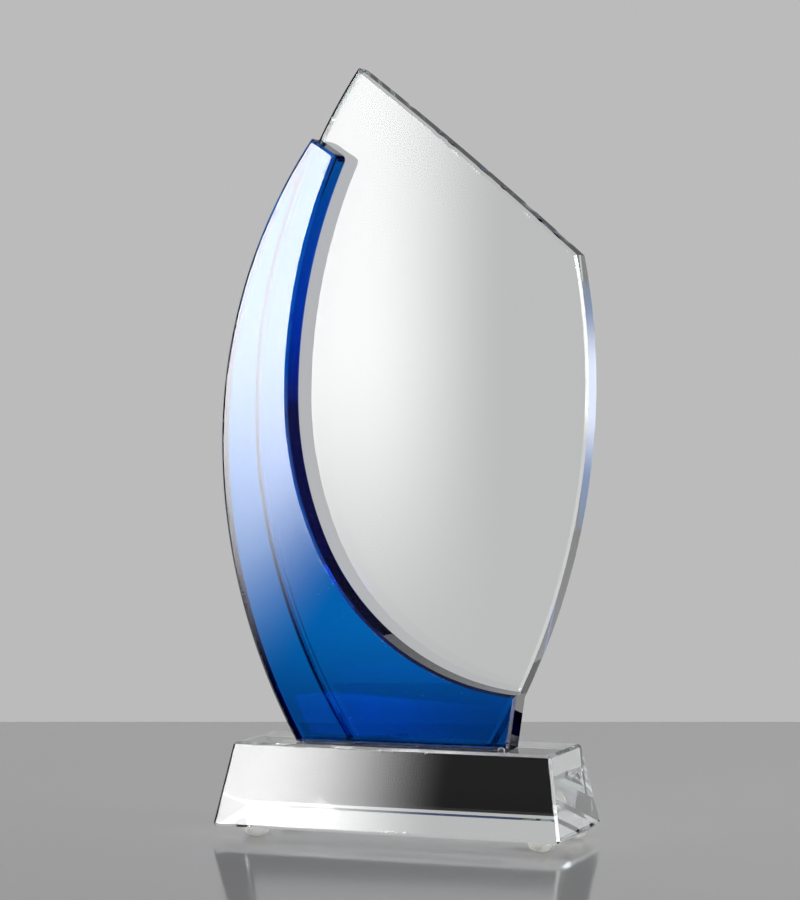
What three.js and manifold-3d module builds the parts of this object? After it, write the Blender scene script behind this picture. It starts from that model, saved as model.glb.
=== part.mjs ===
// Sail-shaped crystal award: a clear plaque and a blue crescent, bonded face to face and
// standing on a clear trapezoidal block with four stick-on bumper feet.
// Millimetres, +Z up, front towards -Y. Origin on the table, under the middle of the block.
import * as THREE from 'three';
import { ConvexGeometry } from 'three/addons/geometries/ConvexGeometry.js';
import { mergeVertices } from 'three/addons/utils/BufferGeometryUtils.js';
import Module from 'manifold-3d';

const wasm = await Module();
wasm.setup();

// Overall sizes
const TOTAL_HEIGHT = 250;
const HALF_SPAN = 61;
const FILM = 0.2;

// Block
const BASE_LENGTH = 118.4;
const BASE_WIDTH = 46;
const BASE_TOP_LENGTH = 108.2;
const BASE_TOP_WIDTH = 33.4;
const BASE_HEIGHT = 27;
const BASE_CHAMFER = 0.9;

// Bumper feet
const FOOT_HEIGHT = 3.5;
const FOOT_RADIUS = 4.2;
const FOOT_RIM = 0.7;
const FOOT_FLAT = 1.5;
const FOOT_POSITIONS = {
  front_left: [-47, -14],
  front_right: [50.3, -14],
  rear_left: [-45.5, 14],
  rear_right: [52, 15],
};

// Plates, measured in the plane of their faces
const PLATE_BEVEL = 0.9;
const PLAQUE_THICKNESS = 10;
const CRESCENT_THICKNESS = 11;

const BASE_BOTTOM = FOOT_HEIGHT + FILM;
const BASE_TOP = BASE_BOTTOM + BASE_HEIGHT;
const PLATE_BOTTOM = BASE_TOP + FILM;
const STACK = CRESCENT_THICKNESS + FILM + PLAQUE_THICKNESS;
const CRESCENT_FRONT = -STACK / 2;
const CRESCENT_BACK = CRESCENT_FRONT + CRESCENT_THICKNESS;
const PLAQUE_FRONT = CRESCENT_BACK + FILM;
const PLAQUE_BACK = PLAQUE_FRONT + PLAQUE_THICKNESS;

// Upright edges: each is a circle that is widest at `level` and bows in above and below it.
const PLAQUE_LEFT = { side: -1, widest: 52.3, level: 139, above: 193.2, below: 193.2 };
const PLAQUE_RIGHT = { side: 1, widest: HALF_SPAN, level: 147.5, above: 208, below: 227.6 };
const CRESCENT_OUTER = { side: -1, widest: HALF_SPAN, level: 128, above: 168.4, below: 192.4 };
const SHOULDER_HEIGHT = 188.2;
const DIAGONAL_BOW = 0.8;

// Crescent: slanted top, then an inner edge of three tangent arcs down to the toe
const CUT_OUTER_HEIGHT = 226.5;
const CUT_INNER = [-21.5, 220.8];
const CUT_CORNER_RADIUS = 2;
const INNER_WAIST = [-37.8, 143.2];
const INNER_TOP_RADIUS = 185;
const INNER_MID_RADIUS = 117;
const INNER_MID_TURN = THREE.MathUtils.degToRad(22.9);
const INNER_LOW_RADIUS = 81;
const TOE_TIP_X = 40.6;
const TOE_FOOT_X = 38.1;

function edgeX(edge, z) {
  const rise = z - edge.level;
  const radius = rise > 0 ? edge.above : edge.below;
  return edge.side * (edge.widest - radius + Math.sqrt(radius * radius - rise * rise));
}

function edgePoints(edge, from, to, steps) {
  const points = [];
  for (let i = 0; i <= steps; i += 1) {
    const z = from + ((to - from) * i) / steps;
    points.push(new THREE.Vector2(edgeX(edge, z), z));
  }
  return points;
}

function arcPoints(cx, cz, radius, from, to, steps) {
  const points = [];
  for (let i = 0; i <= steps; i += 1) {
    const a = from + ((to - from) * i) / steps;
    points.push(new THREE.Vector2(cx + radius * Math.cos(a), cz + radius * Math.sin(a)));
  }
  return points;
}

// Drops points that repeat the one before, so every side of the outline has a length.
function tidy(points) {
  return points.filter((p, i) => p.distanceTo(points[(i + points.length - 1) % points.length]) > 0.05);
}

function plaqueOutline() {
  const apex = new THREE.Vector2(edgeX(PLAQUE_LEFT, TOTAL_HEIGHT), TOTAL_HEIGHT);
  const shoulder = new THREE.Vector2(edgeX(PLAQUE_RIGHT, SHOULDER_HEIGHT), SHOULDER_HEIGHT);
  const along = apex.clone().sub(shoulder);
  const outward = new THREE.Vector2(along.y, -along.x).normalize();
  const diagonal = [];
  for (let i = 1; i < 8; i += 1) {
    const t = i / 8;
    const bow = 4 * DIAGONAL_BOW * t * (1 - t);
    diagonal.push(shoulder.clone().addScaledVector(along, t).addScaledVector(outward, bow));
  }
  return tidy([
    ...edgePoints(PLAQUE_RIGHT, PLATE_BOTTOM, SHOULDER_HEIGHT, 30),
    ...diagonal,
    ...edgePoints(PLAQUE_LEFT, TOTAL_HEIGHT, PLATE_BOTTOM, 36),
  ]);
}

function crescentOutline() {
  const [waistX, waistZ] = INNER_WAIST;
  const turn = Math.PI + INNER_MID_TURN;
  const midX = waistX + INNER_MID_RADIUS;
  const lowX = midX + (INNER_MID_RADIUS - INNER_LOW_RADIUS) * Math.cos(turn);
  const lowZ = waistZ + (INNER_MID_RADIUS - INNER_LOW_RADIUS) * Math.sin(turn);
  const toeAngle = Math.PI + Math.acos((lowX - TOE_TIP_X) / INNER_LOW_RADIUS);

  const topX = waistX + INNER_TOP_RADIUS;
  const cornerAngle = Math.PI - Math.asin((CUT_INNER[1] - waistZ) / INNER_TOP_RADIUS);
  const shortened = CUT_CORNER_RADIUS / INNER_TOP_RADIUS;
  const inner = [
    ...arcPoints(lowX, lowZ, INNER_LOW_RADIUS, toeAngle, turn, 22),
    ...arcPoints(midX, waistZ, INNER_MID_RADIUS, turn, Math.PI, 9),
    ...arcPoints(topX, waistZ, INNER_TOP_RADIUS, Math.PI, cornerAngle + shortened, 12),
  ];

  const cutOuter = new THREE.Vector2(edgeX(CRESCENT_OUTER, CUT_OUTER_HEIGHT), CUT_OUTER_HEIGHT);
  const corner = new THREE.Vector2(
    topX + INNER_TOP_RADIUS * Math.cos(cornerAngle),
    waistZ + INNER_TOP_RADIUS * Math.sin(cornerAngle),
  );
  const before = inner[inner.length - 1];
  const after = corner.clone().add(cutOuter.clone().sub(corner).setLength(CUT_CORNER_RADIUS));
  const rounding = new THREE.QuadraticBezierCurve(before, corner, after).getPoints(6);

  return tidy([
    new THREE.Vector2(TOE_FOOT_X, PLATE_BOTTOM),
    ...inner,
    ...rounding,
    ...edgePoints(CRESCENT_OUTER, CUT_OUTER_HEIGHT, PLATE_BOTTOM, 40),
  ]);
}

// Moves every side of a counter-clockwise outline inwards by the same distance.
function inset(points, distance) {
  return points.map((p, i) => {
    const back = p.clone().sub(points[(i + points.length - 1) % points.length]).normalize();
    const ahead = points[(i + 1) % points.length].clone().sub(p).normalize();
    const n1 = new THREE.Vector2(-back.y, back.x);
    const n2 = new THREE.Vector2(-ahead.y, ahead.x);
    const mitre = n1.clone().add(n2);
    return p.clone().addScaledVector(mitre, (2 * distance) / mitre.lengthSq());
  });
}

function weld(geometry) {
  const bare = geometry.index ? geometry.toNonIndexed() : geometry.clone();
  bare.deleteAttribute('normal');
  bare.deleteAttribute('uv');
  return mergeVertices(bare, 1e-4);
}

function toManifold(geometry) {
  const welded = weld(geometry);
  const vertProperties = new Float32Array(welded.attributes.position.array);
  const triVerts = new Uint32Array(welded.index.array);
  return new wasm.Manifold(new wasm.Mesh({ numProp: 3, vertProperties, triVerts }));
}

function fromManifold(solid) {
  const mesh = solid.getMesh();
  const geometry = new THREE.BufferGeometry();
  geometry.setAttribute('position', new THREE.BufferAttribute(new Float32Array(mesh.vertProperties), 3));
  geometry.setIndex(new THREE.BufferAttribute(new Uint32Array(mesh.triVerts), 1));
  return geometry;
}

// Stands an outline up on edge, from y = front to y = back, with a bevel round both faces.
function plate(points, front, back, bevel) {
  const geometry = new THREE.ExtrudeGeometry(new THREE.Shape(points), {
    depth: back - front - 2 * bevel,
    bevelEnabled: bevel > 0,
    bevelThickness: bevel,
    bevelSize: bevel,
    bevelOffset: -bevel,
    bevelSegments: 1,
    steps: 1,
  });
  geometry.rotateX(Math.PI / 2);
  geometry.translate(0, back - bevel, 0);
  return weld(geometry);
}

// Block with four leaning sides; each face is pulled back from its edges to leave the chamfers.
function blockGeometry() {
  const corner = (sx, sy, sz, dx, dy, dz) => {
    const z = sz < 0 ? BASE_BOTTOM + dz : BASE_TOP - dz;
    const t = (z - BASE_BOTTOM) / BASE_HEIGHT;
    const halfX = THREE.MathUtils.lerp(BASE_LENGTH, BASE_TOP_LENGTH, t) / 2;
    const halfY = THREE.MathUtils.lerp(BASE_WIDTH, BASE_TOP_WIDTH, t) / 2;
    return new THREE.Vector3(sx * (halfX - dx), sy * (halfY - dy), z);
  };
  const points = [];
  const c = BASE_CHAMFER;
  for (const sx of [-1, 1]) {
    for (const sy of [-1, 1]) {
      for (const sz of [-1, 1]) {
        points.push(corner(sx, sy, sz, 0, c, c));
        points.push(corner(sx, sy, sz, c, 0, c));
        points.push(corner(sx, sy, sz, c, c, 0));
      }
    }
  }
  return weld(new ConvexGeometry(points));
}

// Dome with a short upright rim and a small flat where it presses on the table.
function footGeometry(x, y) {
  const profile = [new THREE.Vector2(0, 0)];
  const dome = FOOT_HEIGHT - FOOT_RIM;
  for (let i = 0; i <= 7; i += 1) {
    const a = (i / 7) * (Math.PI / 2);
    const r = FOOT_FLAT + (FOOT_RADIUS - FOOT_FLAT) * Math.sin(a);
    profile.push(new THREE.Vector2(r, dome * (1 - Math.cos(a))));
  }
  profile.push(new THREE.Vector2(FOOT_RADIUS, FOOT_HEIGHT));
  profile.push(new THREE.Vector2(0, FOOT_HEIGHT));
  const geometry = new THREE.LatheGeometry(profile, 32);
  geometry.rotateX(Math.PI / 2);
  geometry.translate(x, y, 0);
  return weld(geometry);
}

function discGeometry(x, y) {
  const geometry = new THREE.CylinderGeometry(FOOT_RADIUS - 0.3, FOOT_RADIUS - 0.3, FILM, 32);
  geometry.rotateX(Math.PI / 2);
  geometry.translate(x, y, FOOT_HEIGHT + FILM / 2);
  return weld(geometry);
}

// Film of glue between the foot of a plate and the top of the block.
function standingFilm(left, right, front, back) {
  const edge = PLATE_BEVEL + 0.3;
  const geometry = new THREE.BoxGeometry(right - left - 2 * edge, back - front - 2 * edge, FILM);
  geometry.translate((left + right) / 2, (front + back) / 2, BASE_TOP + FILM / 2);
  return weld(geometry);
}

const group = new THREE.Group();

function add(name, geometry, color, roughness) {
  const material = new THREE.MeshStandardMaterial({ color, roughness, metalness: 0 });
  const mesh = new THREE.Mesh(geometry, material);
  mesh.name = name;
  group.add(mesh);
}

const plaque = plaqueOutline();
const crescent = crescentOutline();

add('crystal_base', blockGeometry(), 0xe9eef0, 0.03);
add('clear_plaque', plate(plaque, PLAQUE_FRONT, PLAQUE_BACK, PLATE_BEVEL), 0xeef3f5, 0.03);
add('blue_crescent', plate(crescent, CRESCENT_FRONT, CRESCENT_BACK, PLATE_BEVEL), 0x0a4fb4, 0.03);

const filmInset = PLATE_BEVEL + 0.3;
const plaqueSheet = plate(inset(plaque, filmInset), CRESCENT_BACK, PLAQUE_FRONT, 0);
const crescentSheet = plate(inset(crescent, filmInset), CRESCENT_BACK, PLAQUE_FRONT, 0);
const shared = toManifold(plaqueSheet).intersect(toManifold(crescentSheet));
add('plaque_crescent_bond', fromManifold(shared), 0xd8e4ea, 0.1);

const plaqueLeft = edgeX(PLAQUE_LEFT, PLATE_BOTTOM);
const plaqueRight = edgeX(PLAQUE_RIGHT, PLATE_BOTTOM);
const crescentLeft = edgeX(CRESCENT_OUTER, PLATE_BOTTOM);
const plaqueFilm = standingFilm(plaqueLeft, plaqueRight, PLAQUE_FRONT, PLAQUE_BACK);
const crescentFilm = standingFilm(crescentLeft, TOE_FOOT_X, CRESCENT_FRONT, CRESCENT_BACK);
add('plaque_base_bond', plaqueFilm, 0xd8e4ea, 0.1);
add('crescent_base_bond', crescentFilm, 0xd8e4ea, 0.1);

for (const [place, [x, y]] of Object.entries(FOOT_POSITIONS)) {
  add(`foot_${place}`, footGeometry(x, y), 0xe6e4d8, 0.35);
  add(`foot_adhesive_${place}`, discGeometry(x, y), 0xdedbcb, 0.5);
}

export default group;
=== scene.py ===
import math
import random

import bmesh
import bpy
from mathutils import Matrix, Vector, noise
from mathutils.geometry import delaunay_2d_cdt


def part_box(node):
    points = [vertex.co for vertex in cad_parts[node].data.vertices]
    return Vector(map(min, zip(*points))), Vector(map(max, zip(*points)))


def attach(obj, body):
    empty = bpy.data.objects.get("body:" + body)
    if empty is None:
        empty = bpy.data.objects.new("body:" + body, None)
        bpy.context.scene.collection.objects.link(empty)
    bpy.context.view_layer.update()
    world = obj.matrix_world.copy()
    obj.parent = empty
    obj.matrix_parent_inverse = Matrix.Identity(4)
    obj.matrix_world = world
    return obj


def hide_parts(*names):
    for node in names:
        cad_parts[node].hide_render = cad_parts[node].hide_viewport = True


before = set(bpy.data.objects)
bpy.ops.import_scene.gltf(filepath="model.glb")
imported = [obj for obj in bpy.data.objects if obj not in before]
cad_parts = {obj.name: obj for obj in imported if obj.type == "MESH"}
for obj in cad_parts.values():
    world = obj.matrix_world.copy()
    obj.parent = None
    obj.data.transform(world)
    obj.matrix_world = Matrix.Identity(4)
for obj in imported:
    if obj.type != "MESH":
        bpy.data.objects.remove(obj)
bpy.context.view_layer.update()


# ---------------------------------------------------------------------------------------------
# The block. A solid piece of clear optical crystal, sawn with four leaning sides, ground flat
# and polished. Every edge is broken with a narrow polished chamfer. It stands on the feet.

BLOCK_TOP_LENGTH = 0.1082
BLOCK_TOP_WIDTH = 0.0334
BLOCK_CHAMFER = 0.0009
BLOCK_WEAR_BAND = 0.0012
CHAMFER_LARGEST_AREA = 0.0002
CRYSTAL_INDEX = 1.52
POLISH_DEPTH = 0.0001
# Colour of the painted shade on the blue crescent's rim.
PAINTED_SHADE_BLACK = (0.001, 0.003, 0.02, 1)


def node_group(name, inputs, outputs):
    """Empty shader group with its sockets; each input is (name, kind, starting value)."""
    group = bpy.data.node_groups.new(name, "ShaderNodeTree")
    for label, kind, value in inputs:
        socket = group.interface.new_socket(label, in_out="INPUT", socket_type=kind)
        socket.default_value = value
    for label, kind in outputs:
        group.interface.new_socket(label, in_out="OUTPUT", socket_type=kind)
    return group


def add_node(tree, kind, inputs=None, **settings):
    """Adds a node. Settings are its properties, inputs are values or sockets to link from."""
    made = tree.nodes.new(kind)
    for key, value in settings.items():
        setattr(made, key, value)
    for key, value in (inputs or {}).items():
        if isinstance(value, bpy.types.NodeSocket):
            tree.links.new(value, made.inputs[key])
        else:
            made.inputs[key].default_value = value
    return made


def maths(tree, operation, first, second=0.0, third=0.0):
    return add_node(
        tree, "ShaderNodeMath", {0: first, 1: second, 2: third}, operation=operation
    ).outputs[0]


def polish_group():
    """Hand-polished crystal: faint lapping waves, wiped haze, hairlines and nibbled edges."""
    tree = node_group(
        "polished_crystal",
        [
            ("Edge", "NodeSocketFloat", 0.0),
            ("Haze", "NodeSocketFloat", 0.01),
            ("Wave", "NodeSocketFloat", 1.0),
            ("Nibble", "NodeSocketFloat", 1.0),
        ],
        [("Roughness", "NodeSocketFloat"), ("Height", "NodeSocketFloat")],
    )
    given = add_node(tree, "NodeGroupInput").outputs
    place = add_node(tree, "ShaderNodeTexCoord").outputs["Object"]
    wave = add_node(
        tree, "ShaderNodeTexNoise", {"Vector": place, "Scale": 22.0, "Detail": 1.0}
    ).outputs["Fac"]
    haze = add_node(
        tree, "ShaderNodeTexNoise", {"Vector": place, "Scale": 38.0, "Detail": 5.0}
    ).outputs["Fac"]
    patches = add_node(
        tree,
        "ShaderNodeMapRange",
        {"Value": haze, "From Min": 0.48, "From Max": 0.78},
        clamp=True,
    ).outputs[0]
    drawn = add_node(
        tree,
        "ShaderNodeMapping",
        {"Vector": place, "Rotation": (0.0, 0.5, 0.0), "Scale": (1400.0, 400.0, 22.0)},
    ).outputs[0]
    lines = add_node(
        tree, "ShaderNodeTexNoise", {"Vector": drawn, "Scale": 1.0, "Detail": 2.0}
    ).outputs["Fac"]
    hairlines = add_node(
        tree,
        "ShaderNodeMapRange",
        {"Value": lines, "From Min": 0.70, "From Max": 0.80},
        clamp=True,
    ).outputs[0]
    bites = add_node(
        tree, "ShaderNodeTexVoronoi", {"Vector": place, "Scale": 1100.0}, feature="F1"
    ).outputs["Distance"]
    spread = add_node(
        tree, "ShaderNodeTexNoise", {"Vector": place, "Scale": 160.0, "Detail": 3.0}
    ).outputs["Fac"]
    nibbled = add_node(
        tree,
        "ShaderNodeMapRange",
        {"Value": spread, "From Min": 0.52, "From Max": 0.66},
        clamp=True,
    ).outputs[0]
    worn = maths(tree, "MULTIPLY", maths(tree, "MULTIPLY", given["Edge"], nibbled), given["Nibble"])
    rough = maths(tree, "MULTIPLY_ADD", patches, given["Haze"], 0.004)
    rough = maths(tree, "MULTIPLY_ADD", hairlines, 0.03, rough)
    rough = maths(tree, "MULTIPLY_ADD", worn, 0.12, rough)
    height = maths(tree, "MULTIPLY", wave, given["Wave"])
    height = maths(tree, "MULTIPLY_ADD", hairlines, -0.002, height)
    height = maths(tree, "MULTIPLY_ADD", maths(tree, "MULTIPLY", bites, worn), 1.6, height)
    add_node(tree, "NodeGroupOutput", {"Roughness": rough, "Height": height})
    return tree


POLISH = polish_group()


def tint_group():
    """Slow change between two tones: cloudy, and painted shade from one height to another."""
    tree = node_group(
        "cloudy_tint_and_painted_shade",
        [
            ("Light", "NodeSocketColor", (1, 1, 1, 1)),
            ("Deep", "NodeSocketColor", (0.9, 0.9, 0.9, 1)),
            ("Size", "NodeSocketFloat", 20.0),
            ("From", "NodeSocketFloat", -10.0),
            ("To", "NodeSocketFloat", -11.0),
        ],
        [("Color", "NodeSocketColor")],
    )
    given = add_node(tree, "NodeGroupInput").outputs
    place = add_node(tree, "ShaderNodeTexCoord").outputs["Object"]
    cloud = add_node(
        tree, "ShaderNodeTexNoise", {"Vector": place, "Scale": given["Size"], "Detail": 3.0}
    ).outputs["Fac"]
    # The share that grows with height is painted shade.
    height = add_node(tree, "ShaderNodeSeparateXYZ", {0: place}).outputs["Z"]
    passed = add_node(
        tree,
        "ShaderNodeMapRange",
        {"Value": height, "From Min": given["From"], "From Max": given["To"]},
        interpolation_type="SMOOTHSTEP",
    ).outputs[0]
    share = maths(tree, "MULTIPLY_ADD", cloud, 0.25, passed)
    mixed = add_node(
        tree,
        "ShaderNodeMix",
        {"Factor": share, "A": given["Light"], "B": given["Deep"]},
        data_type="RGBA",
    )
    add_node(tree, "NodeGroupOutput", {"Color": mixed.outputs["Result"]})
    return tree


TINT = tint_group()


def crystal(name, light, deep, haze, wave, nibble, absorb, density, painted_shade_heights=None):
    """Polished crystal. Absorb and density colour its depth, light and deep its surface.

    The last argument holds the heights where painted shade starts to deepen the surface and where
    it is full. A painted shade attribute darkens the surface almost to black.
    """
    material = bpy.data.materials.new(name)
    material.use_nodes = True
    tree = material.node_tree
    shader = tree.nodes["Principled BSDF"]
    output = tree.nodes["Material Output"]
    shader.inputs["Transmission Weight"].default_value = 1.0
    shader.inputs["Metallic"].default_value = 0.0
    shader.inputs["IOR"].default_value = CRYSTAL_INDEX
    edge = add_node(tree, "ShaderNodeAttribute", attribute_name="edge").outputs["Fac"]
    polish = add_node(tree, "ShaderNodeGroup", node_tree=POLISH)
    tree.links.new(edge, polish.inputs["Edge"])
    polish.inputs["Haze"].default_value = haze
    polish.inputs["Wave"].default_value = wave
    polish.inputs["Nibble"].default_value = nibble
    tint = add_node(tree, "ShaderNodeGroup", node_tree=TINT)
    tint.inputs["Light"].default_value = (*light, 1)
    tint.inputs["Deep"].default_value = (*deep, 1)
    if painted_shade_heights:
        tint.inputs["From"].default_value = painted_shade_heights[0]
        tint.inputs["To"].default_value = painted_shade_heights[1]
    bump = add_node(
        tree,
        "ShaderNodeBump",
        {"Height": polish.outputs["Height"], "Strength": 0.12, "Distance": POLISH_DEPTH},
    )
    # Painted shade: a mesh attribute mixes the surface colour towards almost black.
    painted_shade = add_node(tree, "ShaderNodeAttribute", attribute_name="painted_shade").outputs["Fac"]
    colour = add_node(
        tree,
        "ShaderNodeMix",
        {"Factor": painted_shade, "A": tint.outputs["Color"], "B": PAINTED_SHADE_BLACK},
        data_type="RGBA",
    )
    tree.links.new(colour.outputs["Result"], shader.inputs["Base Color"])
    tree.links.new(polish.outputs["Roughness"], shader.inputs["Roughness"])
    tree.links.new(bump.outputs["Normal"], shader.inputs["Normal"])
    volume = add_node(tree, "ShaderNodeVolumeAbsorption")
    volume.inputs["Color"].default_value = (*absorb, 1)
    volume.inputs["Density"].default_value = density
    tree.links.new(volume.outputs[0], output.inputs["Volume"])
    return material


def finish_mesh(bm, name, material, sharp_degrees=20):
    """Makes the object from its mesh, smooth except where faces meet at more than the angle."""
    bmesh.ops.recalc_face_normals(bm, faces=bm.faces[:])
    mesh = bpy.data.meshes.new(name)
    bm.to_mesh(mesh)
    bm.free()
    mesh.polygons.foreach_set("use_smooth", [True] * len(mesh.polygons))
    mesh.set_sharp_from_angle(angle=math.radians(sharp_degrees))
    mesh.materials.append(material)
    piece = bpy.data.objects.new(name, mesh)
    bpy.context.scene.collection.objects.link(piece)
    return piece


def cut_block():
    lo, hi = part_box("crystal_base")
    bm = bmesh.new()
    corners = []
    levels = (
        (lo.z, hi.x - lo.x, hi.y - lo.y),
        (hi.z, BLOCK_TOP_LENGTH, BLOCK_TOP_WIDTH),
    )
    for z, length, width in levels:
        for sx, sy in ((-1, -1), (1, -1), (1, 1), (-1, 1)):
            corners.append(bm.verts.new((sx * length / 2, sy * width / 2, z)))
    bm.faces.new(corners[3::-1])
    bm.faces.new(corners[4:])
    for i in range(4):
        j = (i + 1) % 4
        bm.faces.new((corners[i], corners[j], corners[j + 4], corners[i + 4]))
    bmesh.ops.bevel(
        bm, geom=bm.edges[:], offset=BLOCK_CHAMFER, segments=1, profile=0.5, affect="EDGES"
    )
    edge = bm.verts.layers.float.new("edge")
    for vert in bm.verts:
        vert[edge] = 1.0
    wide = [face for face in bm.faces if face.calc_area() > CHAMFER_LARGEST_AREA]
    bmesh.ops.inset_individual(bm, faces=wide, thickness=BLOCK_WEAR_BAND)
    for face in wide:
        for vert in face.verts:
            vert[edge] = 0.0
    return bm


block_crystal = crystal(
    "block_crystal",
    light=(0.995, 1.0, 1.0),
    deep=(0.97, 0.985, 0.985),
    haze=0.012,
    wave=0.35,
    nibble=1.0,
    absorb=(0.55, 0.85, 0.88),
    density=0.8,
)
block = finish_mesh(cut_block(), "block", block_crystal)
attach(block, "root")
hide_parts("crystal_base")


# ---------------------------------------------------------------------------------------------
# The bumper feet. Cast polyurethane domes, milky and slightly yellow, sold on a sheet and stuck
# on by hand, so they don't stand in an exact rectangle. Each is pressed flat where it stands.

FOOT_RIM = 0.0007
FOOT_FLAT = 0.0015
FOOT_LIP = 0.00015
FOOT_ROUND_STEPS = 64
FOOT_DOME_STEPS = 16


def foot_material():
    material = bpy.data.materials.new("milky_polyurethane")
    material.use_nodes = True
    tree = material.node_tree
    shader = tree.nodes["Principled BSDF"]
    shader.inputs["Transmission Weight"].default_value = 0.75
    shader.inputs["IOR"].default_value = 1.49
    shader.inputs["Subsurface Weight"].default_value = 0.25
    shader.inputs["Subsurface Radius"].default_value = (0.0018, 0.0016, 0.0011)
    tint = add_node(tree, "ShaderNodeGroup", node_tree=TINT)
    tint.inputs["Light"].default_value = (0.93, 0.93, 0.89, 1)
    tint.inputs["Deep"].default_value = (0.86, 0.85, 0.76, 1)
    tint.inputs["Size"].default_value = 250.0
    place = add_node(tree, "ShaderNodeTexCoord").outputs["Object"]
    skin = add_node(
        tree, "ShaderNodeTexNoise", {"Vector": place, "Scale": 900.0, "Detail": 4.0}
    ).outputs["Fac"]
    dust = add_node(
        tree, "ShaderNodeTexVoronoi", {"Vector": place, "Scale": 1700.0}
    ).outputs["Distance"]
    rough = maths(tree, "MULTIPLY_ADD", skin, 0.14, 0.16)
    height = maths(tree, "MULTIPLY_ADD", dust, 0.15, skin)
    bump = add_node(
        tree, "ShaderNodeBump", {"Height": height, "Strength": 0.08, "Distance": 0.00003}
    )
    tree.links.new(tint.outputs["Color"], shader.inputs["Base Color"])
    tree.links.new(rough, shader.inputs["Roughness"])
    tree.links.new(bump.outputs["Normal"], shader.inputs["Normal"])
    return material


def turned(profile, centre, steps):
    """Closed round body from a profile of (radius, height) that starts and ends on the axis."""
    bm = bmesh.new()
    rings = []
    for radius, z in profile:
        if radius == 0:
            rings.append([bm.verts.new((centre.x, centre.y, z))])
            continue
        ring = []
        for i in range(steps):
            a = 2 * math.pi * i / steps
            ring.append(
                bm.verts.new((centre.x + radius * math.cos(a), centre.y + radius * math.sin(a), z))
            )
        rings.append(ring)
    for low, high in zip(rings, rings[1:]):
        for i in range(steps):
            j = (i + 1) % steps
            corners = [low[i % len(low)], low[j % len(low)], high[j % len(high)], high[i % len(high)]]
            bm.faces.new(list(dict.fromkeys(corners)))
    return bm


def cast_foot(node):
    lo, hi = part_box(node)
    radius = (hi.x - lo.x) / 2
    dome = hi.z - lo.z - FOOT_RIM
    profile = [(0.0, lo.z), (FOOT_FLAT * 0.5, lo.z)]
    for i in range(FOOT_DOME_STEPS + 1):
        a = i / FOOT_DOME_STEPS * math.pi / 2
        r = FOOT_FLAT + (radius - FOOT_FLAT) * math.sin(a)
        profile.append((r, lo.z + dome * (1 - math.cos(a))))
    profile.append((radius, hi.z - FOOT_LIP))
    profile.append((radius - FOOT_LIP, hi.z))
    profile.append((0.0, hi.z))
    return turned(profile, (lo + hi) / 2, FOOT_ROUND_STEPS)


polyurethane = foot_material()
corners_of_block = ("front_left", "front_right", "rear_left", "rear_right")
for corner in corners_of_block:
    foot = finish_mesh(cast_foot(f"foot_{corner}"), f"bumper_{corner}", polyurethane, 50)
    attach(foot, "root")
    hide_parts(f"foot_{corner}")


# ---------------------------------------------------------------------------------------------
# The feet's adhesive. A clear pressure-sensitive disc a little smaller than the dome, die-cut,
# with air pockets trapped under it where the foot was pressed against the polished block.

TAPE_GAP = 0.00002
TAPE_ROUND_STEPS = 48


def tape_material():
    material = bpy.data.materials.new("foot_adhesive")
    material.use_nodes = True
    tree = material.node_tree
    shader = tree.nodes["Principled BSDF"]
    shader.inputs["Transmission Weight"].default_value = 0.6
    shader.inputs["IOR"].default_value = 1.47
    place = add_node(tree, "ShaderNodeTexCoord").outputs["Object"]
    cells = add_node(
        tree, "ShaderNodeTexVoronoi", {"Vector": place, "Scale": 1300.0}
    ).outputs["Distance"]
    pockets = add_node(
        tree,
        "ShaderNodeMapRange",
        {"Value": cells, "From Min": 0.15, "From Max": 0.35, "To Min": 1.0, "To Max": 0.0},
        clamp=True,
    ).outputs[0]
    colour = add_node(
        tree,
        "ShaderNodeMix",
        {"Factor": pockets, "A": (0.86, 0.85, 0.76, 1), "B": (0.95, 0.95, 0.92, 1)},
        data_type="RGBA",
    )
    rough = maths(tree, "MULTIPLY_ADD", pockets, 0.3, 0.25)
    bump = add_node(
        tree, "ShaderNodeBump", {"Height": pockets, "Strength": 0.3, "Distance": 0.00003}
    )
    tree.links.new(colour.outputs["Result"], shader.inputs["Base Color"])
    tree.links.new(rough, shader.inputs["Roughness"])
    tree.links.new(bump.outputs["Normal"], shader.inputs["Normal"])
    return material


def die_cut_disc(node):
    lo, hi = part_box(node)
    radius = (hi.x - lo.x) / 2
    profile = [
        (0.0, lo.z + TAPE_GAP),
        (radius * 0.99, lo.z + TAPE_GAP),
        (radius, (lo.z + hi.z) / 2),
        (radius * 0.985, hi.z - TAPE_GAP),
        (0.0, hi.z - TAPE_GAP),
    ]
    return turned(profile, (lo + hi) / 2, TAPE_ROUND_STEPS)


tape = tape_material()
for corner in corners_of_block:
    node = f"foot_adhesive_{corner}"
    disc = finish_mesh(die_cut_disc(node), f"adhesive_disc_{corner}", tape, 40)
    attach(disc, "root")
    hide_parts(node)


# ---------------------------------------------------------------------------------------------
# The two templates. Both plates are sawn from slabs, to outlines of circle arcs and straight or
# barely bowed cuts. They overlap, and are glued face to face over the patch that they share.

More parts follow.
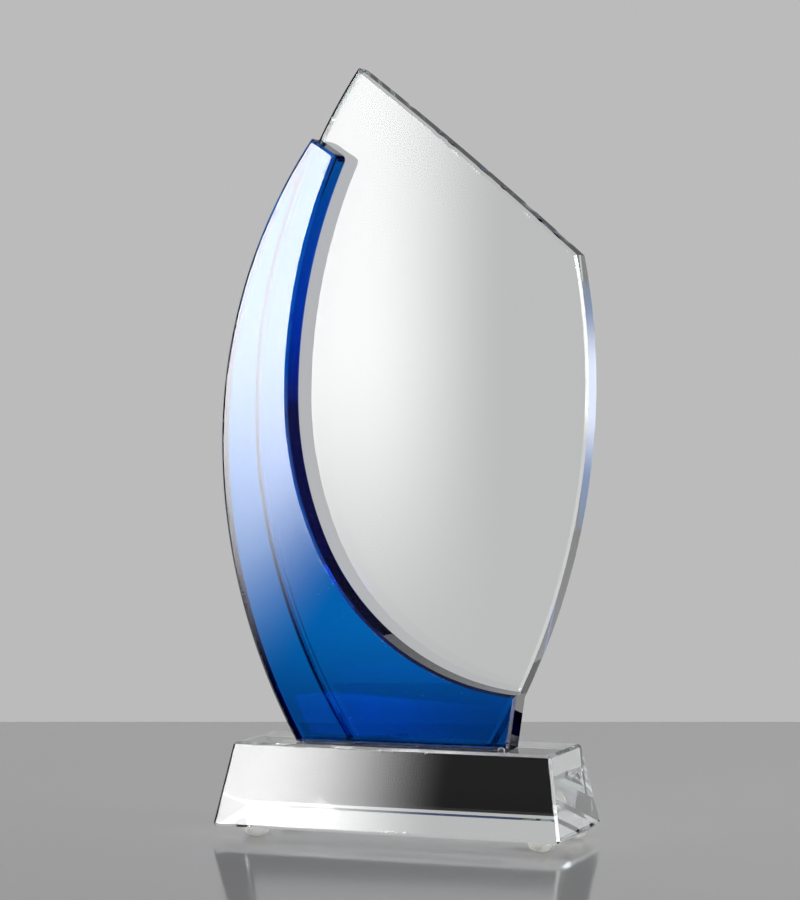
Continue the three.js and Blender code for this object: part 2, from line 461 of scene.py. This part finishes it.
POINT_SPACING = 0.001
SAME_POINT = 0.00001
CORNER_TURN = math.radians(15)
CORNER_ROOM = 0.003
PLATE_BEVEL = 0.0009
PLAQUE_LEFT = {"side": -1, "widest": 0.0523, "level": 0.139, "above": 0.1932, "below": 0.1932}
PLAQUE_RIGHT = {"side": 1, "widest": 0.061, "level": 0.1475, "above": 0.208, "below": 0.2276}
SHOULDER_HEIGHT = 0.1882
DIAGONAL_BOW = 0.0008
DIAGONAL_SPACING = 0.0005
CRESCENT_OUTER = {"side": -1, "widest": 0.061, "level": 0.128, "above": 0.1684, "below": 0.1924}
CUT_OUTER_HEIGHT = 0.2265
CUT_INNER = Vector((-0.0215, 0.2208))
CUT_CORNER_RADIUS = 0.002
CUT_CORNER_STEPS = 8
WAIST = Vector((-0.0378, 0.1432))
HOLLOW_TOP_RADIUS = 0.185
HOLLOW_MID_RADIUS = 0.117
HOLLOW_MID_TURN = math.radians(22.9)
HOLLOW_LOW_RADIUS = 0.081
TOE_TIP_X = 0.0406
TOE_FOOT_X = 0.0381
GLUE_MARGIN = 0.0014
CROSSED_FACES = 3
JOINED_POINTS = 1e-7


def rim_x(edge, z):
    """Where an upright edge is at a height: a circle that is widest at its own level."""
    rise = z - edge["level"]
    radius = edge["above"] if rise > 0 else edge["below"]
    return edge["side"] * (edge["widest"] - radius + math.sqrt(radius**2 - rise**2))


def upright(edge, start, end):
    steps = max(2, round(abs(end - start) / POINT_SPACING))
    heights = [start + (end - start) * i / steps for i in range(steps + 1)]
    return [Vector((rim_x(edge, z), z)) for z in heights]


def arc(centre, radius, start, end):
    steps = max(2, round(abs(end - start) * radius / POINT_SPACING))
    points = []
    for i in range(steps + 1):
        a = start + (end - start) * i / steps
        points.append(centre + Vector((math.cos(a), math.sin(a))) * radius)
    return points


def straight(start, end):
    steps = max(2, round((end - start).length / POINT_SPACING))
    return [start.lerp(end, i / steps) for i in range(steps + 1)]


def spaced(points):
    """Drops a point that falls on the one before it, or that crowds a sharp corner."""
    apart = [p for i, p in enumerate(points) if (p - points[i - 1]).length > SAME_POINT]
    sharp = []
    for i, point in enumerate(apart):
        ahead = apart[(i + 1) % len(apart)] - point
        if (point - apart[i - 1]).angle(ahead) > CORNER_TURN:
            sharp.append(point)
    return [p for p in apart if p in sharp or min((p - c).length for c in sharp) > CORNER_ROOM]


def plaque_outline(bottom, top):
    shoulder = Vector((rim_x(PLAQUE_RIGHT, SHOULDER_HEIGHT), SHOULDER_HEIGHT))
    apex = Vector((rim_x(PLAQUE_LEFT, top), top))
    along = apex - shoulder
    outward = Vector((along.y, -along.x)).normalized()
    steps = round(along.length / DIAGONAL_SPACING)
    diagonal = []
    for i in range(1, steps):
        t = i / steps
        diagonal.append(shoulder + along * t + outward * (4 * DIAGONAL_BOW * t * (1 - t)))
    heel = Vector((rim_x(PLAQUE_LEFT, bottom), bottom))
    toe = Vector((rim_x(PLAQUE_RIGHT, bottom), bottom))
    return spaced(
        upright(PLAQUE_RIGHT, bottom, SHOULDER_HEIGHT)
        + diagonal
        + upright(PLAQUE_LEFT, top, bottom)
        + straight(heel, toe)
    )


def crescent_hollow():
    """The inner edge, from the toe's tip up to just below the slanting cut."""
    turn = math.pi + HOLLOW_MID_TURN
    mid = WAIST + Vector((HOLLOW_MID_RADIUS, 0))
    low = mid + Vector((math.cos(turn), math.sin(turn))) * (HOLLOW_MID_RADIUS - HOLLOW_LOW_RADIUS)
    top = WAIST + Vector((HOLLOW_TOP_RADIUS, 0))
    toe_angle = math.pi + math.acos((low.x - TOE_TIP_X) / HOLLOW_LOW_RADIUS)
    cut_angle = math.pi - math.asin((CUT_INNER.y - WAIST.y) / HOLLOW_TOP_RADIUS)
    last = cut_angle + CUT_CORNER_RADIUS / HOLLOW_TOP_RADIUS
    corner = top + Vector((math.cos(cut_angle), math.sin(cut_angle))) * HOLLOW_TOP_RADIUS
    edge = (
        arc(low, HOLLOW_LOW_RADIUS, toe_angle, turn)
        + arc(mid, HOLLOW_MID_RADIUS, turn, math.pi)
        + arc(top, HOLLOW_TOP_RADIUS, math.pi, last)
    )
    return edge, corner


def crescent_outline(bottom):
    hollow, corner = crescent_hollow()
    cut_outer = Vector((rim_x(CRESCENT_OUTER, CUT_OUTER_HEIGHT), CUT_OUTER_HEIGHT))
    after = corner + (cut_outer - corner).normalized() * CUT_CORNER_RADIUS
    rounding = []
    for i in range(1, CUT_CORNER_STEPS):
        t = i / CUT_CORNER_STEPS
        rounding.append(hollow[-1].lerp(corner, t).lerp(corner.lerp(after, t), t))
    heel = Vector((rim_x(CRESCENT_OUTER, bottom), bottom))
    toe = Vector((TOE_FOOT_X, bottom))
    return spaced(
        straight(toe, hollow[0])
        + hollow
        + rounding
        + straight(after, cut_outer)
        + upright(CRESCENT_OUTER, CUT_OUTER_HEIGHT, bottom)
        + straight(heel, toe)
    )


def inset(points, distances):
    """Moves each point of a counter-clockwise outline inwards, square to the outline there."""
    moved = []
    count = len(points)
    for i, point in enumerate(points):
        back = (point - points[i - 1]).normalized()
        ahead = (points[(i + 1) % count] - point).normalized()
        mitre = Vector((-back.y - ahead.y, back.x + ahead.x))
        moved.append(point + mitre * (2 * distances[i] / mitre.length_squared))
    return moved


def overlap(first, second):
    """The one loop of points round what two outlines share."""
    loops = [list(range(len(first))), list(range(len(first), len(first) + len(second)))]
    placed, _, faces, _, _, owners = delaunay_2d_cdt(
        first + second, [], loops, CROSSED_FACES, JOINED_POINTS
    )
    shared = [face for face, owner in zip(faces, owners) if len(owner) == 2]
    return [Vector(placed[i]) for i in max(shared, key=len)]


plaque_low, plaque_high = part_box("clear_plaque")
crescent_low, crescent_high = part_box("blue_crescent")
plaque_line = plaque_outline(plaque_low.z, plaque_high.z)
crescent_line = crescent_outline(crescent_low.z)
glued_patch = overlap(
    inset(plaque_line, [GLUE_MARGIN] * len(plaque_line)),
    inset(crescent_line, [GLUE_MARGIN] * len(crescent_line)),
)


# ---------------------------------------------------------------------------------------------
# The clear plaque. Sawn from a ten millimetre crystal slab to a sail outline, both faces and the
# rim polished, edges broken with a bevel. The thin long diagonal is nicked from handling.

BEVEL_WANDER = 0.07
BEVEL_WANDER_SCALE = 120
PLATE_WEAR_BAND = 0.0004
RIM_SHARE_OF_CHIP = 0.55
NICKS = 11
NICK_RAGGED = 0.25
NICK_RAGGED_SCALE = 2600


def chips(points, centres):
    """Extra depth that small shell-shaped nicks take off an edge, point by point."""
    lost = [0.0] * len(points)
    for place, reach, depth in centres:
        for i, point in enumerate(points):
            away = (point - place).length / reach
            if away < 1:
                wander = noise.noise(Vector((point.x, point.y, 0)) * NICK_RAGGED_SCALE)
                ragged = 1 - NICK_RAGGED + NICK_RAGGED * wander
                lost[i] = max(lost[i], depth * (1 - away**2) * ragged)
    return lost


def cut_plate(points, front, back, front_chips, back_chips, painted_shades):
    """A plate on edge: face, bevel, rim, bevel, face. Worn at its edges, painted shade on its rim."""
    count = len(points)
    ragged = []
    for point in points:
        wander = noise.noise(Vector((point.x, point.y, 0.3)) * BEVEL_WANDER_SCALE)
        ragged.append(1 + BEVEL_WANDER * wander)
    front_bevel = [PLATE_BEVEL * r + c for r, c in zip(ragged, front_chips)]
    back_bevel = [PLATE_BEVEL * (2.1 - r) + c for r, c in zip(ragged, back_chips)]
    front_rim = [c * RIM_SHARE_OF_CHIP for c in front_chips]
    back_rim = [c * RIM_SHARE_OF_CHIP for c in back_chips]
    band = PLATE_BEVEL * 2
    rings = (
        (front, [max(d + PLATE_WEAR_BAND, band) for d in front_bevel], 0.0),
        (front, front_bevel, 1.0),
        (front + PLATE_BEVEL, front_rim, 1.0),
        (front + band, [0.0] * count, 0.0),
        (back - band, [0.0] * count, 0.0),
        (back - PLATE_BEVEL, back_rim, 1.0),
        (back, back_bevel, 1.0),
        (back, [max(d + PLATE_WEAR_BAND, band) for d in back_bevel], 0.0),
    )
    bm = bmesh.new()
    edge = bm.verts.layers.float.new("edge")
    painted_shade = bm.verts.layers.float.new("painted_shade")
    made = []
    for y, distances, wear in rings:
        ring = []
        for place, tone in zip(inset(points, distances), painted_shades):
            vert = bm.verts.new((place.x, y, place.y))
            vert[edge] = wear
            vert[painted_shade] = tone if front < y < back else 0.0
            ring.append(vert)
        made.append(ring)
    for near, far in zip(made, made[1:]):
        for i in range(count):
            j = (i + 1) % count
            bm.faces.new((near[i], near[j], far[j], far[i]))
    bm.faces.new(made[0])
    bm.faces.new(made[-1][::-1])
    return bm


shaker = random.Random(7)
nicks = []
apex = Vector((rim_x(PLAQUE_LEFT, plaque_high.z), plaque_high.z))
shoulder = Vector((rim_x(PLAQUE_RIGHT, SHOULDER_HEIGHT), SHOULDER_HEIGHT))
for _ in range(NICKS):
    place = shoulder.lerp(apex, shaker.uniform(0.04, 0.97))
    nicks.append((place, shaker.uniform(0.0012, 0.0032), shaker.uniform(0.0002, 0.0006)))
plaque_crystal = crystal(
    "plaque_crystal",
    light=(1.0, 1.0, 1.0),
    deep=(0.985, 0.995, 0.995),
    haze=0.010,
    wave=0.3,
    nibble=1.0,
    absorb=(0.45, 0.85, 0.86),
    density=2.5,
)
plaque = finish_mesh(
    cut_plate(
        plaque_line,
        plaque_low.y,
        plaque_high.y,
        chips(plaque_line, nicks[::2]),
        chips(plaque_line, nicks[1::2]),
        [0.0] * len(plaque_line),
    ),
    "plaque",
    plaque_crystal,
)
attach(plaque, "root")
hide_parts("clear_plaque")


# ---------------------------------------------------------------------------------------------
# The blue crescent. Cobalt crystal coloured right through. Painted shade deepens its surface
# towards its foot and makes the lower rim of its hollow almost black. Its top is cut on a slant,
# and its hollow edge sweeps out into a toe.

PAINTED_SHADE_STARTS = 0.168
PAINTED_SHADE_FULL = 0.140
OUTER_RIM_SLACK = 0.0001

# Painted shade: the surface colour deepens towards the foot between the two heights given last.
blue_crystal = crystal(
    "blue_crystal",
    light=(1.0, 1.0, 1.0),
    deep=(1.0, 0.34, 0.48),
    haze=0.012,
    wave=0.25,
    nibble=0.8,
    absorb=(0.0, 0.785, 0.99),
    density=500.0,
    painted_shade_heights=(0.075, 0.03),
)
no_chips = [0.0] * len(crescent_line)
# Painted shade on the rim of the hollow: none on the outer edge, growing downwards to full between
# the two shade heights.
painted_rim_shade = []
for point in crescent_line:
    inner = abs(point.x - rim_x(CRESCENT_OUTER, point.y)) > OUTER_RIM_SLACK
    share = (PAINTED_SHADE_STARTS - point.y) / (PAINTED_SHADE_STARTS - PAINTED_SHADE_FULL)
    painted_rim_shade.append(min(max(share, 0.0), 1.0) if inner else 0.0)
crescent = finish_mesh(
    cut_plate(crescent_line, crescent_low.y, crescent_high.y, no_chips, no_chips, painted_rim_shade),
    "crescent",
    blue_crystal,
)
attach(crescent, "root")
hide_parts("blue_crescent")


# ---------------------------------------------------------------------------------------------
# The glue. Clear adhesive hardened under ultraviolet light: one film between the two plates
# and one under each plate. It has nearly the crystal's index, so the film between the plates
# shows only as specks and a rim.

PLATE_GAP = 0.00003
FOOT_GAP = 0.00002
BEAD = 0.00042
BEAD_CORNER = 0.0004
BEAD_SPACING = 0.0006
BEAD_WANDER = 0.55
BEAD_WANDER_SCALE = 170
DROP_RADII = Vector((0.0012, 0.0007, 0.0007))
DROP_LOWER_SHARE = 0.55


def glue_material(name, clear, speck_scale):
    material = bpy.data.materials.new(name)
    material.use_nodes = True
    tree = material.node_tree
    shader = tree.nodes["Principled BSDF"]
    shader.inputs["Transmission Weight"].default_value = 1.0
    shader.inputs["IOR"].default_value = 1.5
    place = add_node(tree, "ShaderNodeTexCoord").outputs["Object"]
    cells = add_node(
        tree, "ShaderNodeTexVoronoi", {"Vector": place, "Scale": speck_scale}
    ).outputs["Distance"]
    specks = add_node(
        tree,
        "ShaderNodeMapRange",
        {"Value": cells, "From Min": 0.03, "From Max": 0.06, "To Min": 1.0, "To Max": 0.0},
        clamp=True,
    ).outputs[0]
    flow = add_node(
        tree, "ShaderNodeTexNoise", {"Vector": place, "Scale": 60.0, "Detail": 2.0}
    ).outputs["Fac"]
    colour = add_node(
        tree,
        "ShaderNodeMix",
        {"Factor": flow, "A": (1.0, 1.0, 1.0, 1), "B": (0.97, 0.98, 0.99, 1)},
        data_type="RGBA",
    )
    rough = maths(tree, "MULTIPLY_ADD", specks, 0.4, 0.02)
    if clear:
        rim = add_node(tree, "ShaderNodeAttribute", attribute_name="edge").outputs["Fac"]
        shown = maths(tree, "MAXIMUM", specks, maths(tree, "MULTIPLY", rim, 0.5))
        tree.links.new(shown, shader.inputs["Alpha"])
    tree.links.new(colour.outputs["Result"], shader.inputs["Base Color"])
    tree.links.new(rough, shader.inputs["Roughness"])
    return material


def plate_film(points, front, back):
    """A sheet of glue on edge, rounded where it ends between the plates."""
    bm = bmesh.new()
    edge = bm.verts.layers.float.new("edge")
    rings = []
    half = (back - front) / 2
    count = len(points)
    for y, depth in ((front, half), (front, 0.3 * half), (front + half, 0.0), (back, 0.3 * half)):
        ring = []
        for place in inset(points, [depth] * count):
            vert = bm.verts.new((place.x, y if depth else front + half, place.y))
            vert[edge] = 0.0 if depth == half else 1.0
            ring.append(vert)
        rings.append(ring)
    for near, far in zip(rings, rings[1:]):
        for i in range(count):
            j = (i + 1) % count
            bm.faces.new((near[i], near[j], far[j], far[i]))
    bm.faces.new(rings[0])
    bm.faces.new(rings[-1][::-1])
    return bm


bond = finish_mesh(
    plate_film(glued_patch, crescent_high.y + PLATE_GAP, plaque_low.y - PLATE_GAP),
    "plate_glue_film",
    glue_material("clear_plate_glue", True, 260.0),
)
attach(bond, "root")
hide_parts("plaque_crescent_bond")


def foot_film(node, ragged):
    """Glue under a plate: a thin bed with a bead round it that fills the plate's bevel."""
    lo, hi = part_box(node)
    middle = (lo + hi) / 2
    half_x = (hi.x - lo.x) / 2
    half_y = (hi.y - lo.y) / 2
    outline = []
    for corner_x, corner_y, start in ((1, -1, -90), (1, 1, 0), (-1, 1, 90), (-1, -1, 180)):
        for i in range(5):
            a = math.radians(start + 90 * i / 4)
            outline.append(
                Vector(
                    (
                        corner_x * (half_x - BEAD_CORNER) + BEAD_CORNER * math.cos(a),
                        corner_y * (half_y - BEAD_CORNER) + BEAD_CORNER * math.sin(a),
                    )
                )
            )
    loop = []
    for i, point in enumerate(outline):
        after = outline[(i + 1) % len(outline)]
        steps = max(1, round((after - point).length / BEAD_SPACING))
        loop += [point.lerp(after, k / steps) for k in range(steps)]
    levels = (
        (lo.z + FOOT_GAP, 0.0002),
        (lo.z + FOOT_GAP, -BEAD),
        (lo.z + 0.00012, -BEAD - 0.00008),
        (lo.z + 0.0003, -BEAD + 0.00006),
        (hi.z + 0.00022, -0.00018),
        (hi.z - FOOT_GAP, 0.00004),
    )
    bm = bmesh.new()
    rings = []
    for z, depth in levels:
        ring = []
        distances = []
        for point in loop:
            spot = (point.x * BEAD_WANDER_SCALE, point.y * BEAD_WANDER_SCALE, ragged)
            wander = noise.noise(Vector(spot))
            distances.append(depth * (1 + BEAD_WANDER * wander) if depth < 0 else depth)
        for place in inset(loop, distances):
            ring.append(bm.verts.new((middle.x + place.x, middle.y + place.y, z)))
        rings.append(ring)
    for low, high in zip(rings, rings[1:]):
        for i in range(len(loop)):
            j = (i + 1) % len(loop)
            bm.faces.new((low[i], low[j], high[j], high[i]))
    bm.faces.new(rings[0][::-1])
    bm.faces.new(rings[-1])
    return bm


def glue_drop(bm, centre, radii):
    """A squeezed-out drop that was left standing on the block beside the plate."""
    made = bmesh.ops.create_uvsphere(bm, u_segments=24, v_segments=14, radius=1.0)["verts"]
    floor = centre.z - radii.z * DROP_LOWER_SHARE
    for vert in made:
        swell = 1 + 0.12 * noise.noise(vert.co * 1.7)
        vert.co = Vector(
            (
                centre.x + vert.co.x * radii.x * swell,
                centre.y + vert.co.y * radii.y * swell,
                max(centre.z + vert.co.z * radii.z * swell, floor),
            )
        )


base_glue = glue_material("clear_base_glue", False, 700.0)
for node, name, ragged in (
    ("plaque_base_bond", "plaque_foot_glue", 0.3),
    ("crescent_base_bond", "crescent_foot_glue", 4.1),
):
    bm = foot_film(node, ragged)
    if node == "crescent_base_bond":
        lo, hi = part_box(node)
        stands = lo.z + DROP_RADII.z * DROP_LOWER_SHARE + PLATE_GAP
        glue_drop(bm, Vector((hi.x - 0.0008, lo.y - 0.0017, stands)), DROP_RADII)
    film = finish_mesh(bm, name, base_glue, 40)
    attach(film, "root")
    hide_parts(node)


# ---------------------------------------------------------------------------------------------
# The camera. A long lens at the award's right front, a little above its middle and looking
# slightly down. Light may pass many faces of crystal, so it is followed a long way.

CAMERA_AIM = Vector((-0.0024, 0.0, 0.1257))
CAMERA_AZIMUTH = math.radians(20.37)
CAMERA_ELEVATION = math.radians(1.27)
CAMERA_DISTANCE = 0.9804

lens = bpy.data.cameras.new("long_lens")
lens.lens = 120.9
lens.sensor_width = 36.0
lens.clip_start = 0.05
lens.clip_end = 20.0
camera = bpy.data.objects.new("camera", lens)
bpy.context.scene.collection.objects.link(camera)
toward_camera = Vector(
    (
        math.sin(CAMERA_AZIMUTH) * math.cos(CAMERA_ELEVATION),
        -math.cos(CAMERA_AZIMUTH) * math.cos(CAMERA_ELEVATION),
        math.sin(CAMERA_ELEVATION),
    )
)
camera.location = CAMERA_AIM + toward_camera * CAMERA_DISTANCE
camera.rotation_mode = "QUATERNION"
camera.rotation_quaternion = (-toward_camera).to_track_quat("-Z", "Y")
bpy.context.scene.camera = camera
bpy.context.scene.view_settings.view_transform = "Standard"
bpy.context.scene.cycles.max_bounces = 24
bpy.context.scene.cycles.transmission_bounces = 24
bpy.context.scene.cycles.glossy_bounces = 16
bpy.context.scene.cycles.transparent_max_bounces = 24


# ---------------------------------------------------------------------------------------------
# The studio. A plain pale table with open grey air round it. At the left front stands a wide
# soft light, and before it a brighter cut-out that the crescent mirrors. Two small lights pick
# out the plaque's right rim and bevels, and dark cards draw the edges.

TABLE_HALF = 0.333
AIR = 0.497
SOFT_LIGHT_Y = -2.0
CRESCENT_LIGHT_Y = -0.99
STRIP_LIGHT_X = 1.0
RIM_LIGHT_Y = 0.58
FLOOR_FLAG_Z = 0.0004
TOE_FLAG_Z = -0.001
LEFT_FLAG_X = -0.9


def stage_card(
    name, corners, material, camera=False, diffuse=True, shadow=False, glossy=True, through=True
):
    """A flat card, table or light. Through says whether rays that left crystal meet it.

    No light is met in that way, so the plates keep the colour of the air behind them.
    """
    mesh = bpy.data.meshes.new(name)
    mesh.from_pydata([tuple(c) for c in corners], [], [tuple(range(len(corners)))])
    mesh.materials.append(material)
    card = bpy.data.objects.new(name, mesh)
    bpy.context.scene.collection.objects.link(card)
    card.visible_camera = camera
    card.visible_diffuse = diffuse
    card.visible_shadow = shadow
    card.visible_glossy = glossy
    card.visible_transmission = through


def table_material():
    material = bpy.data.materials.new("pale_table")
    material.use_nodes = True
    tree = material.node_tree
    shader = tree.nodes["Principled BSDF"]
    shader.inputs["Base Color"].default_value = (0.42, 0.42, 0.425, 1)
    shader.inputs["Roughness"].default_value = 0.09
    shader.inputs["IOR"].default_value = 1.49
    return material


def glow_material(name, least, lobes):
    """Light made of lobes: a strength, and fades (share of x, share of z, dark at, full at)."""
    material = bpy.data.materials.new(name)
    material.use_nodes = True
    tree = material.node_tree
    tree.nodes.remove(tree.nodes["Principled BSDF"])
    place = add_node(tree, "ShaderNodeTexCoord").outputs["Object"]
    split = add_node(tree, "ShaderNodeSeparateXYZ", {0: place}).outputs
    total = least
    for strength, fades in lobes:
        level = strength
        for share_x, share_z, dark_at, full_at in fades:
            along = maths(tree, "MULTIPLY", split["X"], share_x)
            along = maths(tree, "MULTIPLY_ADD", split["Z"], share_z, along)
            fade = add_node(
                tree,
                "ShaderNodeMapRange",
                {"Value": along, "From Min": dark_at, "From Max": full_at},
                interpolation_type="SMOOTHSTEP",
            ).outputs[0]
            level = maths(tree, "MULTIPLY", fade, level)
        total = maths(tree, "ADD", level, total)
    light = add_node(tree, "ShaderNodeEmission", {"Color": (1, 1, 1, 1), "Strength": total})
    tree.links.new(light.outputs[0], tree.nodes["Material Output"].inputs["Surface"])
    return material


def dark_material():
    material = bpy.data.materials.new("dark_card")
    material.use_nodes = True
    shader = material.node_tree.nodes["Principled BSDF"]
    shader.inputs["Base Color"].default_value = (0, 0, 0, 1)
    shader.inputs["Specular IOR Level"].default_value = 0.0
    return material


def mirrored(point, face, depth):
    """Where a card standing at a depth has the spot that a plate's face mirrors at a point."""
    eye = camera.location
    reach = (face - depth) / (face - eye.y)
    return (point.x + (point.x - eye.x) * reach, depth, point.y + (point.y - eye.z) * reach)


across = Vector((math.cos(CAMERA_AZIMUTH), math.sin(CAMERA_AZIMUTH), 0)) * TABLE_HALF
away = Vector((-math.sin(CAMERA_AZIMUTH), math.cos(CAMERA_AZIMUTH), 0)) * TABLE_HALF
stage_card(
    "table",
    [-across - away, across - away, across + away, away - across],
    table_material(),
    camera=True,
    shadow=True,
    glossy=False,
)
stage_card(
    "soft_light",
    [(x, SOFT_LIGHT_Y, z) for x, z in ((-3.2, -0.4), (-0.4, -0.4), (-0.4, 1.8), (-3.2, 1.8))],
    glow_material(
        "soft_glow",
        0.28,
        (
            (AIR, ((0, 1, 0.56, 0.48),)),
            (10.6, ((1, 0, -0.625, -0.79), (0, 1, -0.18, 0.205), (0, 1, 0.56, 0.48))),
            (20.5, ((1, 0, -0.704, -0.92), (0, 1, 0.54, 0.59), (0, 1, 0.86, 0.73))),
        ),
    ),
    through=False,
)
stage_card(
    "crescent_light",
    [mirrored(point, crescent_low.y, CRESCENT_LIGHT_Y) for point in crescent_line],
    glow_material(
        "crescent_glow", 0.0, ((19.3, ((0, 1, -0.09, 0.2), (1, -0.635, -0.4096, -0.511))),)
    ),
    diffuse=False,
    through=False,
)
stage_card(
    "strip_light",
    [(STRIP_LIGHT_X, y, z) for y, z in ((-0.36, -0.8), (0.0, -0.8), (0.0, 0.8), (-0.36, 0.8))],
    glow_material("strip_glow", 3.0, ((9.0, ((0, 1, 0.0, 0.1),)),)),
    through=False,
)
stage_card(
    "rim_light",
    [
        (x, RIM_LIGHT_Y, z)
        for x, z in (
            (0.13, -0.2),
            (0.27, -0.2),
            (0.27, 0.32),
            (0.2, 0.32),
            (0.216, 0.19),
            (0.216, 0.14),
            (0.198, 0.11),
            (0.175, 0.07),
            (0.13, 0.0),
        )
    ],
    glow_material("rim_glow", 1.0, ((2.3, ((0, 1, 0.05, 0.12), (0, 1, 0.23, 0.16))),)),
    diffuse=False,
    through=False,
)
dark = dark_material()
stage_card(
    "floor_flag",
    [
        (x, y, FLOOR_FLAG_Z)
        for x, y in ((-0.16, 0.029), (0.12, 0.029), (0.12, 0.16), (-0.16, 0.16))
    ],
    dark,
    diffuse=False,
    glossy=False,
)
stage_card(
    "toe_flag",
    [
        (x, y, TOE_FLAG_Z)
        for x, y in ((0.07, 0.12), (0.12, 0.12), (0.12, 0.22), (0.084, 0.205), (0.076, 0.168))
    ],
    dark,
    diffuse=False,
    through=False,
)
stage_card(
    "left_flag",
    [(LEFT_FLAG_X, y, z) for y, z in ((-0.2, 0.0), (0.7, 0.0), (0.7, 0.7), (-0.2, 0.7))],
    dark,
    diffuse=False,
)
stage_card(
    "right_flag",
    [(0.0, 0.85, -0.1), (0.36, 0.8, -0.1), (0.36, 0.8, 0.8), (0.0, 0.85, 0.8)],
    dark,
    diffuse=False,
)
# The block, the plates and the film between them throw no shadow on the table.
for glass in (block, plaque, crescent, bond):
    glass.visible_shadow = False

world = bpy.data.worlds.new("studio_air")
bpy.context.scene.world = world
world.use_nodes = True
air = world.node_tree
seen = add_node(air, "ShaderNodeBackground", {"Color": (AIR, AIR, AIR, 1)})
direction = add_node(air, "ShaderNodeTexCoord").outputs["Generated"]
pointing = add_node(air, "ShaderNodeSeparateXYZ", {0: direction}).outputs


def ceiling(starts, ends, least):
    """How bright the air is: it falls to the least between two upward slopes."""
    return add_node(
        air,
        "ShaderNodeMapRange",
        {
            "Value": pointing["Z"],
            "From Min": starts,
            "From Max": ends,
            "To Min": AIR,
            "To Max": least,
        },
        interpolation_type="SMOOTHSTEP",
    ).outputs[0]


through_crystal = ceiling(0.45, 0.75, 0.05)
in_mirrors = ceiling(0.12, 0.3, 0.25)
# Below the table's level and towards the front, mirrors find air that is almost black.
below = add_node(
    air,
    "ShaderNodeMapRange",
    {"Value": pointing["Z"], "From Min": -0.01, "From Max": -0.05, "To Min": 0.0, "To Max": 0.97},
).outputs[0]
forward = add_node(
    air, "ShaderNodeMapRange", {"Value": pointing["Y"], "From Min": 0.2, "From Max": -0.1}
).outputs[0]
below = maths(air, "MULTIPLY", below, forward)
ray = add_node(air, "ShaderNodeLightPath").outputs
bounced = maths(air, "SUBTRACT", ray["Is Glossy Ray"], ray["Is Transmission Ray"])
mirror = add_node(air, "ShaderNodeClamp", {0: bounced}).outputs[0]
lit = add_node(air, "ShaderNodeMix", {"Factor": mirror, "A": through_crystal, "B": in_mirrors})
sunk = maths(air, "SUBTRACT", 1.0, maths(air, "MULTIPLY", below, mirror))
level = maths(air, "MULTIPLY", lit.outputs["Result"], sunk)
felt = add_node(air, "ShaderNodeBackground", {"Color": level})
both = add_node(
    air,
    "ShaderNodeMixShader",
    {0: ray["Is Camera Ray"], 1: felt.outputs[0], 2: seen.outputs[0]},
)
air.links.new(both.outputs[0], air.nodes["World Output"].inputs["Surface"])
